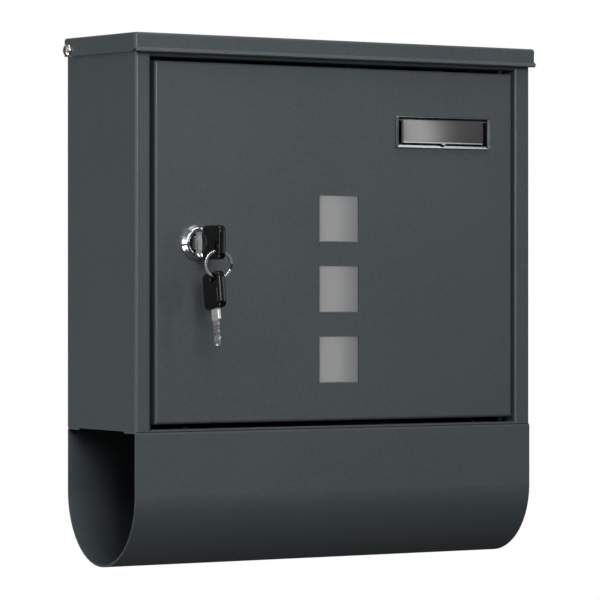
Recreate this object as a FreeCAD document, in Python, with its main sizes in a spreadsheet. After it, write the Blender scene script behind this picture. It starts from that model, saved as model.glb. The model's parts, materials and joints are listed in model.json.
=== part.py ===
import FreeCAD, Part
import os
import Sketcher
from FreeCAD import Placement, Rotation, Vector

# Wall mounted mailbox with a newspaper holder under it. Millimetres, +X to the right as one faces the door,
# +Y into the wall, +Z up. The origin is the middle of the four wall screw holes, on the wall's face.
# Most pieces are drawn in the box's own frame, where y = 0 is the back panel's outer face and z = 0 is the
# lower edge of the sides; seat() then moves them to the origin above.

doc = FreeCAD.newDocument("mailbox")
size = doc.addObject("Spreadsheet::Sheet", "size")

SIZES = [
    # the box
    ("body_width", 300.0), ("body_depth", 94.0), ("body_height", 250.0), ("sheet", 1.2), ("bend", 1.8),
    ("wall_gap", 5.0), ("origin_height", 125.0),
    # the door opening and its rebate
    ("strip_left", 10.8), ("strip_right", 12.0), ("strip_top", 13.2), ("rebate_depth", 15.0),
    ("lip_width", 8.0), ("rim_flange", 10.0),
    # wall pads and their screw holes
    ("hole_span_x", 200.0), ("hole_span_z", 160.0), ("wall_hole", 6.5), ("pad_foot", 26.0),
    ("pad_face", 16.0),
    # welding flanges of the back and bottom panels
    ("weld_flange", 12.0), ("panel_top_cover", 3.5), ("side_corner", 4.0),
    # newspaper holder
    ("holder_wall_height", 41.0), ("holder_flange", 16.0), ("holder_screw_x", 110.0),
    ("holder_screw_in", 9.5),
    # lid
    ("lid_side_gap", 1.0), ("lid_top", 8.0), ("lid_drop", 4.0), ("lid_front_gap", 3.5), ("lid_back", 0.3),
    ("lid_slope", 1.1), ("lid_rest_gap", 0.4), ("lid_crease", 9.5), ("lip_flare", 3.0), ("lip_corner", 3.0),
    ("lid_flange_corner", 4.5), ("pivot_inset", 5.2),
    # screws and nuts
    ("bolt", 4.0), ("bolt_head", 8.5), ("bolt_head_height", 2.6), ("bolt_nut_flats", 7.0),
    ("bolt_nut_height", 3.2), ("bolt_end", 0.8), ("cross_span", 4.6), ("cross_width", 1.1),
    ("cross_depth", 1.6),
    # clearances
    ("fixed_gap", 0.05), ("running_gap", 0.08), ("face_gap", 0.1),
    # door
    ("door_gap_left", 2.9), ("door_gap_right", 2.2), ("door_gap_top", 2.5), ("door_gap_bottom", 3.3),
    ("door_rest_gap", 0.3), ("pin_from_edge", 6.8), ("pin_set_back", 5.0), ("pin", 4.0),
    ("pin_shoulder", 6.4), ("pin_rivet_head", 1.2), ("pin_reach", 2.4),
    # windows
    ("window", 30.0), ("window_pitch", 45.8), ("window_low", 44.4), ("window_strip_margin", 9.0),
    ("window_strip_sheet", 2.0), ("stud", 3.0), ("stud_margin", 4.6), ("stud_nut_flats", 5.5),
    ("stud_nut_height", 2.4), ("stud_end", 0.8),
    # name plate
    ("name_from_side", 69.9), ("name_drop", 56.3), ("name_width", 74.6), ("name_tall", 21.0),
    ("name_proud", 1.2), ("name_rim", 3.0), ("name_rim_low", 1.6), ("name_wall", 0.8), ("name_depth", 3.2),
    ("name_floor", 1.0), ("hook_width", 8.0), ("hook_catch", 0.6), ("hook_depth", 1.5),
    ("hook_spread", 44.0), ("flap_side_gap", 2.3), ("flap_gap", 0.5), ("flap_sheet", 1.2),
    ("flap_set_back", 0.3), ("flap_pin", 1.0), ("flap_pin_drop", 0.8), ("tab_width", 6.0),
    ("tab_tall", 1.4), ("tab_proud", 0.6), ("card_sheet", 0.3), ("card_margin", 4.6),
    # lock
    ("lock_from_side", 44.0), ("lock_height", 119.4), ("bezel", 23.1), ("bezel_rim", 19.4),
    ("bezel_mouth", 17.4), ("bezel_proud", 4.6), ("bezel_foot", 1.2), ("dish_depth", 1.4),
    ("plug_flange", 14.0), ("plug_step", 1.6), ("plug", 12.56), ("barrel", 18.0), ("cam_gap", 0.8),
    ("cam_sheet", 2.0), ("cam_square", 8.0), ("cam_width", 14.0), ("cam_reach", 38.0), ("cam_heel", 8.0),
    ("lock_nut_flats", 24.0), ("lock_nut_height", 3.5), ("cam_bolt", 5.0), ("cam_bolt_head", 9.0),
    ("cam_bolt_head_height", 2.8), ("cam_bolt_reach", 4.6),
    # keys and ring
    ("blade_sheet", 2.0), ("blade_width", 6.0), ("blade_reach", 16.2), ("blade_tip", 2.0),
    ("shoulder_width", 8.5), ("shoulder_length", 7.05), ("tang_length", 11.0), ("bit_depth", 1.2),
    ("bit_width", 1.8), ("bit_pitch", 3.2), ("key_slot_gap", 0.15), ("head_length", 23.25),
    ("head_width", 21.6), ("head_thick", 4.7), ("head_corner", 3.0), ("head_edge", 0.9),
    ("loop_from_end", 4.3), ("loop_width", 5.4), ("loop_corner", 1.6), ("loop_low", 7.0),
    ("loop_high", 0.6), ("ring_radius", 8.55), ("ring_wire", 1.6), ("ring_corner", 0.5),
    ("ring_slack", 0.6), ("ring_inset", 1.2), ("ring_turn", 10.0), ("spare_lean", 8.4),
    ("spare_offset", 2.6), ("spare_aside", 2.0), ("spare_slack", 0.45),
]

for row, (alias, number) in enumerate(SIZES, start=1):
    size.set(f"A{row}", alias)
    size.set(f"B{row}", str(number))
    size.setAlias(f"B{row}", alias)
doc.recompute()

# Places that several pieces share, as expressions in the box's frame.
SIDE = "(size.body_width / 2)"
INNER_SIDE = f"({SIDE} - size.sheet)"
FRONT = "(-size.body_depth)"
INNER_FRONT = f"({FRONT} + size.sheet)"
OPENING_LEFT = f"(size.strip_left - {SIDE})"
OPENING_RIGHT = f"({SIDE} - size.strip_right)"
OPENING_TOP = "(size.body_height - size.strip_top)"
RETURN_END = f"({FRONT} + size.rebate_depth)"
DOOR_LEFT = f"({OPENING_LEFT} + size.door_gap_left)"
DOOR_RIGHT = f"({OPENING_RIGHT} - size.door_gap_right)"
DOOR_LOW = "(size.sheet + size.door_gap_bottom)"
DOOR_HIGH = f"({OPENING_TOP} - size.door_gap_top)"
DOOR_BACK = f"({RETURN_END} - size.door_rest_gap)"
PIN_X = f"({DOOR_RIGHT} - size.pin_from_edge)"
PIN_Y = f"({FRONT} + size.pin_set_back)"
PIVOT_Y = "(-size.pivot_inset)"
PIVOT_Z = ("(size.body_height + size.lid_rest_gap - size.lid_top + size.sheet"
           " + (size.body_depth - size.pivot_inset) * tan(size.lid_slope * 1 deg))")
WINDOW_ROWS = [f"(size.window_low + {row} * size.window_pitch)" for row in range(3)]
NAME_X = f"({SIDE} - size.name_from_side)"
NAME_Z = "(size.body_height - size.name_drop)"
LOCK_X = f"(size.lock_from_side - {SIDE})"
BOLT_HOLE = "(size.bolt / 2 + size.fixed_gap)"

# Shares that shape a pan head: its flat's radius of its width, its edge and rounding of its height.
PAN_FLAT = 0.32
PAN_EDGE = 0.4
PAN_ROUND = 0.3

# Shares of the lid's sheet: how far its lip's end is squared off, and how high its crease sits inside.
LIP_END = 0.7
LIP_FOLD = 0.4

# Shares of the thickness each one eases: the name plate's upper edge, the flap's top and the lock's rim.
FRAME_EDGE = 0.25
FLAP_ROUND = 0.45
RIM_ROUND = 0.25

# Share of the cam's width that rounds its ends.
CAM_ROUND = 0.4

# Each notch of a key: its depth as a share of bit_depth, and its mouth's width as a share of bit_width.
BIT_DEPTHS = (0.6, 1.0, 0.4, 0.8)
BIT_MOUTH = 0.75

# Places of the lock and its keys, measured from the middle of the lock on the door's face.
BARREL_END = "(size.rebate_depth + size.sheet + size.cam_gap - size.face_gap)"
CAM_FACE = "(size.rebate_depth + size.sheet + size.cam_gap)"
DISH_FLOOR = "(size.dish_depth - size.bezel_proud)"
PLUG_FACE = f"({DISH_FLOOR} - size.face_gap)"
KEY_HOLE_END = f"({PLUG_FACE} + size.blade_reach + 4 * size.face_gap)"

# Places on a key, measured from its shoulder, with the blade pointing along +Y.
HEAD_NEAR = "(-size.shoulder_length)"
HEAD_FAR = "(-size.shoulder_length - size.head_length)"
LOOP_Y = f"({HEAD_FAR} + size.loop_from_end)"
RING_SEAT = "(size.ring_wire / 2 + size.head_thick ^ 2 / (8 * size.ring_radius) + size.ring_slack)"
RING_TOP_Z = f"(size.lock_height - size.loop_low + {RING_SEAT})"
RING_Y = f"({FRONT} + {PLUG_FACE} + {LOOP_Y} + size.ring_inset)"
SPARE_HANG_Y = f"({LOOP_Y} - size.loop_width / 2 + {RING_SEAT} + size.spare_slack)"
SPARE_ROUND = "asin(size.spare_aside / size.ring_radius)"


def value(expression):
    """The number that an expression gives for the present sizes."""
    return float(size.evalExpression(expression))


def seat(piece, x="0", y="0", z="0"):
    """Bind the piece's place: x, y, z in the box's frame, moved to the part's origin."""
    piece.setExpression("Placement.Base.x", x)
    piece.setExpression("Placement.Base.y", f"{y} - size.wall_gap")
    piece.setExpression("Placement.Base.z", f"{z} - size.origin_height")


def new_body(label):
    body = doc.addObject("PartDesign::Body", label)
    body.Label = label
    return body


def new_sketch(body, name, role, shift="0"):
    """An empty sketch on one of the body's own planes, moved along the plane's normal by shift."""
    sketch = body.newObject("Sketcher::SketchObject", name)
    plane = next(item for item in body.Origin.OriginFeatures if item.Role == role)
    sketch.AttachmentSupport = [(plane, "")]
    sketch.MapMode = "FlatFace"
    sketch.setExpression("AttachmentOffset.Base.z", shift)
    return sketch


def bind_point(sketch, geometry, point, across, up):
    """Fix one point of a sketch to two expressions."""
    for kind, expression in (("DistanceX", across), ("DistanceY", up)):
        number = sketch.addConstraint(Sketcher.Constraint(kind, -1, 1, geometry, point, value(expression)))
        sketch.setExpression(f"Constraints[{number}]", expression)


def add_outline(sketch, corners):
    """A closed outline through corners, each a pair of expressions."""
    first = sketch.GeometryCount
    count = len(corners)
    places = [Vector(value(across), value(up), 0) for across, up in corners]
    for index in range(count):
        sketch.addGeometry(Part.LineSegment(places[index], places[(index + 1) % count]), False)
    for index in range(count):
        follower = first + (index + 1) % count
        sketch.addConstraint(Sketcher.Constraint("Coincident", first + index, 2, follower, 1))
    for index, (across, up) in enumerate(corners):
        bind_point(sketch, first + index, 1, across, up)


def add_rectangle(sketch, left, right, low, high):
    add_outline(sketch, [(left, low), (right, low), (right, high), (left, high)])


def add_circle(sketch, across, up, radius):
    centre = Vector(value(across), value(up), 0)
    circle = sketch.addGeometry(Part.Circle(centre, Vector(0, 0, 1), value(radius)), False)
    bind_point(sketch, circle, 3, across, up)
    number = sketch.addConstraint(Sketcher.Constraint("Radius", circle, value(radius)))
    sketch.setExpression(f"Constraints[{number}]", radius)


def pad(body, sketch, length, both_ways=False, backwards=False):
    feature = body.newObject("PartDesign::Pad", "pad_" + sketch.Name)
    feature.Profile = sketch
    feature.setExpression("Length", length)
    feature.Midplane = both_ways
    feature.Reversed = backwards
    doc.recompute()
    return feature


def cut(body, sketch, length, both_ways=False, backwards=False):
    """Pocket a sketch, and stop if it took nothing away."""
    before = body.Shape.Volume
    feature = body.newObject("PartDesign::Pocket", "cut_" + sketch.Name)
    feature.Profile = sketch
    feature.setExpression("Length", length)
    feature.Midplane = both_ways
    feature.Reversed = backwards
    doc.recompute()
    if not feature.Shape.Volume < before - 0.001:
        raise RuntimeError(f"{body.Label}: {feature.Name} cuts nothing")
    return feature


def turn(body, sketch):
    """Revolve a sketch a full turn about its own upright axis."""
    feature = body.newObject("PartDesign::Revolution", "turn_" + sketch.Name)
    feature.Profile = sketch
    feature.ReferenceAxis = (sketch, ["V_Axis"])
    feature.Angle = 360
    doc.recompute()
    return feature


def straight_edges(shape, axis, **limits):
    """Names of the straight edges along axis whose middle lies within limits, each a pair of expressions."""
    found = []
    for number, edge in enumerate(shape.Edges, start=1):
        if edge.Curve.TypeId != "Part::GeomLine":
            continue
        along = edge.tangentAt(edge.FirstParameter)
        if abs(getattr(along, axis)) < 0.999:
            continue
        middle = edge.CenterOfMass
        if all(value(low) - 0.01 < getattr(middle, name) < value(high) + 0.01
               for name, (low, high) in limits.items()):
            found.append(f"Edge{number}")
    return found


def circle_edges(shape, radius, **at):
    """Names of the round edges of one radius whose centre matches at."""
    found = []
    for number, edge in enumerate(shape.Edges, start=1):
        if edge.Curve.TypeId != "Part::GeomCircle" or abs(edge.Curve.Radius - value(radius)) > 0.01:
            continue
        if all(abs(getattr(edge.Curve.Center, name) - value(place)) < 0.01 for name, place in at.items()):
            found.append(f"Edge{number}")
    return found


def soften(body, names, radius, kind="Fillet"):
    """Round (or chamfer) the named edges of the body's present shape."""
    base = body.Tip
    if not names:
        raise RuntimeError(f"{body.Label}: no edge to soften")
    feature = body.newObject(f"PartDesign::{kind}", f"{kind.lower()}_{body.Label}")
    feature.Base = (base, names)
    feature.setExpression("Radius" if kind == "Fillet" else "Size", radius)
    doc.recompute()
    if not feature.isValid():
        raise RuntimeError(f"{body.Label}: {feature.Name} failed on {names}")
    return feature


def group(label, source, places):
    """One node of several equal solids: each place is (x, y, z, turn), with turn a Rotation."""
    links = []
    for number, (x, y, z, rotation) in enumerate(places, start=1):
        link = doc.addObject("App::Link", f"{label}_{number}")
        link.LinkedObject = source
        link.Placement = Placement(Vector(0, 0, 0), rotation)
        seat(link, x, y, z)
        links.append(link)
    whole = doc.addObject("Part::Compound", label)
    whole.Label = label
    whole.Links = links
    doc.recompute()
    return whole


UPRIGHT = Rotation()
FACE_LEFT = Rotation(Vector(0, 1, 0), -90)
FACE_RIGHT = Rotation(Vector(0, 1, 0), 90)
FACE_BACK = Rotation(Vector(1, 0, 0), -90)
UPSIDE_DOWN = Rotation(Vector(1, 0, 0), 180)


def case_wrap():
    """Front strips, sides and rim, bent from one sheet and open at the back and below the door."""
    body = new_body("case_wrap")
    plan = new_sketch(body, "wrap_plan", "XY_Plane")
    add_outline(plan, [
        (f"-{SIDE}", "0"), (f"-{SIDE}", FRONT), (SIDE, FRONT), (SIDE, "0"), (INNER_SIDE, "0"),
        (INNER_SIDE, INNER_FRONT), (f"-{INNER_SIDE}", INNER_FRONT), (f"-{INNER_SIDE}", "0")])
    pad(body, plan, "size.body_height")

    opening = new_sketch(body, "door_opening", "XZ_Plane")
    add_rectangle(opening, OPENING_LEFT, OPENING_RIGHT, "-size.sheet", OPENING_TOP)
    cut(body, opening, "2 * size.body_depth", backwards=True)

    latch_return = new_sketch(body, "latch_return", "XY_Plane", "size.sheet")
    outer_left = f"({OPENING_LEFT} - size.sheet)"
    add_outline(latch_return, [
        (outer_left, FRONT), (OPENING_LEFT, FRONT), (OPENING_LEFT, RETURN_END),
        (f"{OPENING_LEFT} + size.lip_width", RETURN_END),
        (f"{OPENING_LEFT} + size.lip_width", f"{RETURN_END} + size.sheet"),
        (outer_left, f"{RETURN_END} + size.sheet")])
    pad(body, latch_return, OPENING_TOP)

    hinge_return = new_sketch(body, "hinge_return", "XY_Plane", "size.sheet")
    add_rectangle(hinge_return, OPENING_RIGHT, f"{OPENING_RIGHT} + size.sheet", FRONT, RETURN_END)
    pad(body, hinge_return, OPENING_TOP)

    top_return = new_sketch(body, "top_return", "XY_Plane", OPENING_TOP)
    add_rectangle(top_return, outer_left, f"{OPENING_RIGHT} + size.sheet", FRONT, RETURN_END)
    pad(body, top_return, "size.sheet")

    rim = new_sketch(body, "rim", "XY_Plane", "size.body_height - size.sheet")
    add_rectangle(rim, f"-{INNER_SIDE}", INNER_SIDE, FRONT, f"{FRONT} + size.rim_flange")
    pad(body, rim, "size.sheet")

    pivots = new_sketch(body, "pivot_holes", "YZ_Plane")
    add_circle(pivots, PIVOT_Y, PIVOT_Z, BOLT_HOLE)
    cut(body, pivots, "2 * size.body_width", both_ways=True)

    hinge_hole = new_sketch(body, "hinge_hole", "XY_Plane", f"{OPENING_TOP} - size.sheet")
    add_circle(hinge_hole, PIN_X, PIN_Y, "size.pin / 2 + size.running_gap")
    cut(body, hinge_hole, "3 * size.sheet", backwards=True)

    here = (FRONT, FRONT)
    top = ("size.body_height", "size.body_height")
    soften(body, straight_edges(body.Tip.Shape, "x", y=("0", "0"), z=top), "size.side_corner")
    soften(body, straight_edges(body.Tip.Shape, "z", x=(f"-{SIDE}", f"-{SIDE}"), y=here)
           + straight_edges(body.Tip.Shape, "z", x=(SIDE, SIDE), y=here)
           + straight_edges(body.Tip.Shape, "x", y=here, z=top), "size.bend")
    soften(body, straight_edges(body.Tip.Shape, "z", x=(OPENING_LEFT, OPENING_RIGHT), y=here)
           + straight_edges(body.Tip.Shape, "x", y=here, z=(OPENING_TOP, OPENING_TOP)), "size.bend")
    seat(body)
    return body


def back_panel():
    """Back sheet with welding flanges and four pressed pads that keep the box off the wall."""
    body = new_body("back_panel")
    top = f"({PIVOT_Z} + size.panel_top_cover)"
    web = new_sketch(body, "back_web", "XZ_Plane")
    add_rectangle(web, f"-{INNER_SIDE}", INNER_SIDE, "0", top)
    pad(body, web, "size.sheet")
    for name, near, far in (("left", f"-{INNER_SIDE}", f"-{INNER_SIDE} + size.sheet"),
                            ("right", f"{INNER_SIDE} - size.sheet", INNER_SIDE)):
        flange = new_sketch(body, f"weld_{name}", "XY_Plane", "size.sheet")
        add_rectangle(flange, near, far, "-size.weld_flange", "0")
        pad(body, flange, f"{top} - size.sheet")
    seats = [(f"{across} * size.hole_span_x / 2", f"size.origin_height + {up} * size.hole_span_z / 2")
             for across in (-1, 1) for up in (-1, 1)]
    slope = "(size.pad_foot - size.pad_face) / 2 / size.wall_gap"
    for number, (x, z) in enumerate(seats, start=1):
        add_cone(body, f"pad_{number}", "Additive", x, "0", z, "size.pad_foot / 2", "size.pad_face / 2",
                 "size.wall_gap")
    for number, (x, z) in enumerate(seats, start=1):
        add_cone(body, f"hollow_{number}", "Subtractive", x, "-size.sheet", z,
                 "size.pad_foot / 2 - size.sheet / 2",
                 f"size.pad_foot / 2 - size.sheet / 2 - {slope} * size.wall_gap",
                 "size.wall_gap")
    holes = new_sketch(body, "wall_holes", "XZ_Plane")
    for x, z in seats:
        add_circle(holes, x, z, "size.wall_hole / 2")
    cut(body, holes, "4 * size.wall_gap", both_ways=True)
    pivots = new_sketch(body, "pivot_holes_back", "YZ_Plane")
    add_circle(pivots, PIVOT_Y, PIVOT_Z, BOLT_HOLE)
    cut(body, pivots, "2 * size.body_width", both_ways=True)
    seat(body)
    return body


def add_cone(body, name, kind, x, y, z, foot, face, height):
    """A cone along +Y, from its foot radius to its face radius."""
    cone = body.newObject(f"PartDesign::{kind}Cone", name)
    cone.Placement = Placement(Vector(0, 0, 0), FACE_BACK)
    cone.setExpression("Placement.Base.x", x)
    cone.setExpression("Placement.Base.y", y)
    cone.setExpression("Placement.Base.z", z)
    cone.setExpression("Radius1", foot)
    cone.setExpression("Radius2", face)
    cone.setExpression("Height", height)
    doc.recompute()


def holder_screw_places():
    """Plan places of the four screws that hang the newspaper holder."""
    return [(f"{side} * size.holder_screw_x", y) for side in (-1, 1)
            for y in (f"{FRONT} + size.holder_screw_in", "-size.holder_screw_in")]


def bottom_panel():
    """Bottom sheet inside the wrap, with flanges up the sides and the back."""
    body = new_body("bottom_panel")
    floor = new_sketch(body, "floor", "XY_Plane")
    notch = f"({INNER_SIDE} - size.bend)"
    add_outline(floor, [
        (f"-{INNER_SIDE}", "-size.sheet"), (f"-{INNER_SIDE}", f"{INNER_FRONT} + size.bend"),
        (f"-{notch}", INNER_FRONT), (f"{OPENING_LEFT} + size.door_rest_gap", INNER_FRONT),
        (f"{OPENING_LEFT} + size.door_rest_gap", f"{FRONT} + size.face_gap"),
        (f"{OPENING_RIGHT} - size.door_rest_gap", f"{FRONT} + size.face_gap"),
        (f"{OPENING_RIGHT} - size.door_rest_gap", INNER_FRONT), (notch, INNER_FRONT),
        (INNER_SIDE, f"{INNER_FRONT} + size.bend"), (INNER_SIDE, "-size.sheet")])
    pad(body, floor, "size.sheet")
    side_front = f"{RETURN_END} + 2 * size.sheet"
    side_back = "-size.weld_flange - size.sheet"
    for name, near, far in (("left", f"-{INNER_SIDE}", f"-{INNER_SIDE} + size.sheet"),
                            ("right", f"{INNER_SIDE} - size.sheet", INNER_SIDE)):
        flange = new_sketch(body, f"floor_weld_{name}", "XY_Plane", "size.sheet")
        add_rectangle(flange, near, far, side_front, side_back)
        pad(body, flange, "size.weld_flange")
    rear = new_sketch(body, "floor_weld_back", "XY_Plane", "size.sheet")
    add_rectangle(rear, f"-{INNER_SIDE} + 3 * size.sheet", f"{INNER_SIDE} - 3 * size.sheet",
                  "-2 * size.sheet", "-size.sheet")
    pad(body, rear, "size.weld_flange")
    holes = new_sketch(body, "floor_holes", "XY_Plane", "-size.sheet")
    for x, y in holder_screw_places():
        add_circle(holes, x, y, BOLT_HOLE)
    add_circle(holes, PIN_X, PIN_Y, "size.pin / 2 + size.running_gap")
    cut(body, holes, "3 * size.sheet", backwards=True)
    seat(body)
    return body


def add_bowl(sketch, across, up, radius, top):
    """A U: two upright lines from top down to a half circle about (across, up)."""
    centre = Vector(value(across), value(up), 0)
    reach = value(radius)
    head = value(top)
    first = sketch.GeometryCount
    left, right = centre.x - reach, centre.x + reach
    half_turn = 3.141592653589793
    sketch.addGeometry(Part.LineSegment(Vector(left, head, 0), Vector(left, centre.y, 0)), False)
    circle = Part.Circle(centre, Vector(0, 0, 1), reach)
    sketch.addGeometry(Part.ArcOfCircle(circle, half_turn, 2 * half_turn), False)
    sketch.addGeometry(Part.LineSegment(Vector(right, centre.y, 0), Vector(right, head, 0)), False)
    sketch.addGeometry(Part.LineSegment(Vector(right, head, 0), Vector(left, head, 0)), False)
    for near, near_point, far, far_point in ((0, 2, 1, 1), (1, 2, 2, 1), (2, 2, 3, 1), (3, 2, 0, 1)):
        meet = Sketcher.Constraint("Coincident", first + near, near_point, first + far, far_point)
        sketch.addConstraint(meet)
    bind_point(sketch, first + 1, 3, across, up)
    number = sketch.addConstraint(Sketcher.Constraint("Radius", first + 1, reach))
    sketch.setExpression(f"Constraints[{number}]", radius)
    for line in (0, 2):
        sketch.addConstraint(Sketcher.Constraint("Vertical", first + line))
    sketch.addConstraint(Sketcher.Constraint("Horizontal", first + 3))
    sketch.addConstraint(Sketcher.Constraint("Horizontal", first + 1, 1, first + 1, 3))
    sketch.addConstraint(Sketcher.Constraint("Horizontal", first + 1, 2, first + 1, 3))
    number = sketch.addConstraint(Sketcher.Constraint("DistanceY", -1, 1, first, 1, head))
    sketch.setExpression(f"Constraints[{number}]", top)


def paper_holder():
    """U of sheet for rolled newspapers, open at both ends and flanged inwards at the top."""
    body = new_body("paper_holder")
    middle = "-size.body_depth / 2"
    bowl_z = "-size.holder_wall_height"
    outer = new_sketch(body, "holder_outside", "YZ_Plane")
    add_bowl(outer, middle, bowl_z, "size.body_depth / 2", "0")
    pad(body, outer, "size.body_width", both_ways=True)
    inner = new_sketch(body, "holder_inside", "YZ_Plane")
    add_bowl(inner, middle, bowl_z, "size.body_depth / 2 - size.sheet", "-size.sheet")
    cut(body, inner, "2 * size.body_width", both_ways=True)
    mouth = new_sketch(body, "holder_mouth", "XY_Plane", "-2 * size.sheet")
    add_rectangle(mouth, f"-{SIDE} - size.sheet", f"{SIDE} + size.sheet",
                  f"{FRONT} + size.holder_flange", "-size.holder_flange")
    cut(body, mouth, "3 * size.sheet", backwards=True)
    holes = new_sketch(body, "holder_holes", "XY_Plane", "-2 * size.sheet")
    for x, y in holder_screw_places():
        add_circle(holes, x, y, BOLT_HOLE)
    add_circle(holes, PIN_X, PIN_Y, "size.pin / 2 + 5 * size.face_gap")
    cut(body, holes, "3 * size.sheet", backwards=True)
    soften(body, straight_edges(body.Tip.Shape, "x", y=(FRONT, FRONT), z=("0", "0"))
           + straight_edges(body.Tip.Shape, "x", y=("0", "0"), z=("0", "0")), "size.bend")
    seat(body)
    return body


def lid():
    """Lid drawn about its pivot axis: top and side flanges, a front flange and its flared lip."""
    body = new_body("lid")
    half = f"({SIDE} + size.lid_side_gap + size.sheet)"
    inner = f"({SIDE} + size.lid_side_gap)"
    front = "(size.pivot_inset - size.body_depth - size.lid_front_gap)"
    back = "(size.pivot_inset + size.lid_back)"
    section = new_sketch(body, "lid_section", "XZ_Plane", f"-{back}")
    add_outline(section, [
        (f"-{half}", "-size.lid_drop"), (f"-{half}", "size.lid_top"), (half, "size.lid_top"),
        (half, "-size.lid_drop"), (inner, "-size.lid_drop"), (inner, "size.lid_top - size.sheet"),
        (f"-{inner}", "size.lid_top - size.sheet"), (f"-{inner}", "-size.lid_drop")])
    pad(body, section, f"{back} - {front} - size.sheet / 2")
    low_front = (f"{front} - size.sheet", f"{front} + 2 * size.sheet")
    soften(body, straight_edges(body.Tip.Shape, "x", y=low_front, z=("-size.lid_drop", "-size.lid_drop")),
           "size.lid_flange_corner")
    crease = "(size.lid_top - size.lid_crease)"
    lip = "(size.lid_top - size.lid_crease - size.lip_flare)"
    thick = "size.sheet"
    flange = new_sketch(body, "lid_front", "YZ_Plane")
    add_outline(flange, [
        (f"{front} + {thick}", "size.lid_top"), (front, "size.lid_top"), (front, crease),
        (f"{front} - size.lip_flare", f"{lip} + {LIP_END} * {thick}"),
        (f"{front} - size.lip_flare + {LIP_END} * {thick}", lip),
        (f"{front} + {thick}", f"{crease} - {LIP_FOLD} * {thick}")])
    pad(body, flange, f"2 * {half}", both_ways=True)
    pivots = new_sketch(body, "lid_pivot_holes", "YZ_Plane")
    add_circle(pivots, "0", "0", "size.bolt / 2 + size.running_gap")
    cut(body, pivots, "2 * size.body_width", both_ways=True)
    top = ("size.lid_top", "size.lid_top")
    soften(body, straight_edges(body.Tip.Shape, "y", x=(f"-{half}", f"-{half}"), z=top)
           + straight_edges(body.Tip.Shape, "y", x=(half, half), z=top), "size.bend")
    soften(body, straight_edges(body.Tip.Shape, "x", y=(front, front), z=top), "size.bend")
    ends = [f"Edge{number}" for number, edge in enumerate(body.Tip.Shape.Edges, start=1)
            if abs(abs(edge.CenterOfMass.x) - value(half)) < 0.01
            and edge.Length < value("size.lip_flare") / 2
            and edge.CenterOfMass.y < value(f"{front} - size.lip_flare / 2")]
    soften(body, ends, "size.lip_corner")
    seat(body, "0", PIVOT_Y, PIVOT_Z)
    body.Placement.Rotation = Rotation(Vector(1, 0, 0), value("size.lid_slope"))
    body.setExpression("Placement.Rotation.Angle", "size.lid_slope")
    return body


def pan_screw(label, bolt, head, head_height, reach):
    """Pan head screw along +Z, its head's seat at z = 0 and its shank below."""
    body = new_body(label)
    edge, flat = f"({head_height} * {PAN_EDGE})", f"({head} * {PAN_FLAT})"
    profile = new_sketch(body, f"{label}_profile", "XZ_Plane")
    add_outline(profile, [
        ("0", f"-{reach}"), (f"{bolt} / 2", f"-{reach}"), (f"{bolt} / 2", "0"), (f"{head} / 2", "0"),
        (f"{head} / 2", edge), (flat, head_height), ("0", head_height)])
    turn(body, profile)
    soften(body, circle_edges(body.Tip.Shape, flat, z=head_height)
           + circle_edges(body.Tip.Shape, f"{head} / 2", z=edge), f"{head_height} * {PAN_ROUND}")
    cross = new_sketch(body, f"{label}_cross", "XY_Plane", head_height)
    arm, half = "size.cross_span / 2", "size.cross_width / 2"
    add_outline(cross, [
        (f"-{arm}", f"-{half}"), (f"-{half}", f"-{half}"), (f"-{half}", f"-{arm}"), (half, f"-{arm}"),
        (half, f"-{half}"), (arm, f"-{half}"), (arm, half), (half, half), (half, arm), (f"-{half}", arm),
        (f"-{half}", half), (f"-{arm}", half)])
    cut(body, cross, "size.cross_depth")
    return body


def hex_nut(label, flats, height, hole):
    """Hexagon nut standing on z = 0, with a flat toward +Y."""
    body = new_body(label)
    plan = new_sketch(body, f"{label}_plan", "XY_Plane")
    corner = f"({flats} / sqrt(3))"
    add_outline(plan, [
        (corner, "0"), (f"{corner} / 2", f"{flats} / 2"), (f"-{corner} / 2", f"{flats} / 2"),
        (f"-{corner}", "0"), (f"-{corner} / 2", f"-{flats} / 2"), (f"{corner} / 2", f"-{flats} / 2")])
    add_circle(plan, "0", "0", hole)
    pad(body, plan, height)
    return body


def lid_pivots():
    """Screws, washers and nuts that the lid turns on."""
    reach = ("(size.face_gap + 3 * size.sheet + size.lid_side_gap + size.bolt_nut_height"
             " + size.bolt_end)")
    screw = pan_screw("lid_pivot_screw", "size.bolt", "size.bolt_head", "size.bolt_head_height", reach)
    seat_x = f"({SIDE} + size.lid_side_gap + size.sheet + size.face_gap)"
    screws = group("lid_pivot_screws", screw, [
        (f"-{seat_x}", PIVOT_Y, PIVOT_Z, FACE_LEFT), (seat_x, PIVOT_Y, PIVOT_Z, FACE_RIGHT)])

    washer = new_body("lid_pivot_washer")
    ring = new_sketch(washer, "washer_ring", "XY_Plane")
    add_circle(ring, "0", "0", "size.bolt_head / 2")
    add_circle(ring, "0", "0", BOLT_HOLE)
    pad(washer, ring, "size.lid_side_gap - 2 * size.face_gap")
    washers = group("lid_pivot_washers", washer, [
        (f"-{SIDE} - size.face_gap", PIVOT_Y, PIVOT_Z, FACE_LEFT),
        (f"{SIDE} + size.face_gap", PIVOT_Y, PIVOT_Z, FACE_RIGHT)])

    nut = hex_nut("bolt_nut", "size.bolt_nut_flats", "size.bolt_nut_height", BOLT_HOLE)
    inside = f"({INNER_SIDE} - size.sheet)"
    nuts = group("lid_pivot_nuts", nut, [
        (f"-{inside}", PIVOT_Y, PIVOT_Z, FACE_RIGHT), (inside, PIVOT_Y, PIVOT_Z, FACE_LEFT)])
    return screws, washers, nuts, nut


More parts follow.
